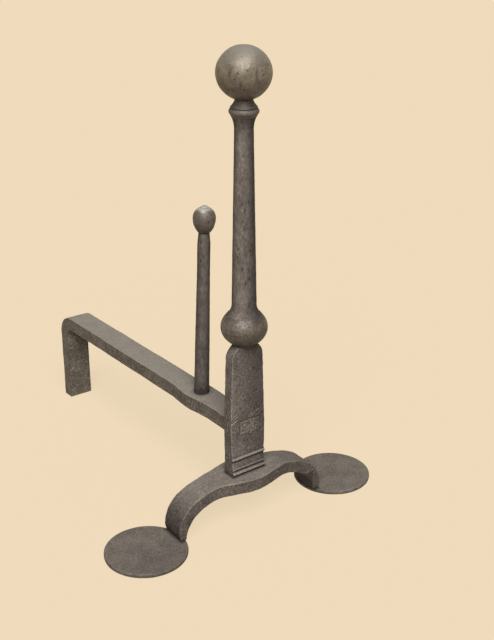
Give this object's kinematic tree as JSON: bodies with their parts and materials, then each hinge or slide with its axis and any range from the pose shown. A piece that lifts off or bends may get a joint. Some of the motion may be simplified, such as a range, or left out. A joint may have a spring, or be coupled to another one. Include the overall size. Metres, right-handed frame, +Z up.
{
  "type": "andiron",
  "caption": "Wrought-iron andiron: ball-topped round column on a flat plinth, arched leg with round feet, and a long low bar for logs with a small knobbed guard post.",
  "frame": {"origin": "on the hearth, under the middle of the whole object's footprint", "axes": "+Z up from the hearth; +X across the hearth, to the right as seen from the room; +Y from the column at the front back along the billet bar into the fireplace"},
  "size_m": [0.3102, 0.3806, 0.4564],
  "materials": {
    "top_ball": "hammer-planished wrought iron, worn to a soft sheen",
    "neck_collar": "swaged wrought iron, dark in the hollows",
    "shaft": "drawn wrought iron, dark with a faint worn sheen",
    "lower_ball": "hammer-planished wrought iron, mottled",
    "plinth": "forged wrought iron with fine hammer pits and tool strokes",
    "arch_leg": "forged wrought iron, rubbed grey on top and dark below",
    "left_foot": "flat forged wrought iron, dusty grey",
    "right_foot": "flat forged wrought iron, dusty grey",
    "billet_bar": "forged bar, rubbed grey-brown on top",
    "guard_post": "drawn wrought iron, dark",
    "guard_ball": "planished wrought iron with a bright rubbed crown"
  },
  "bodies": {
    "root": {"top_ball": "top_ball", "neck_collar": "neck_collar", "shaft": "shaft", "lower_ball": "lower_ball", "plinth": "plinth", "arch_leg": "arch_leg", "left_foot": "left_foot", "right_foot": "right_foot", "billet_bar": "billet_bar", "guard_post": "guard_post", "guard_ball": "guard_ball"}
  },
  "joints": []
}
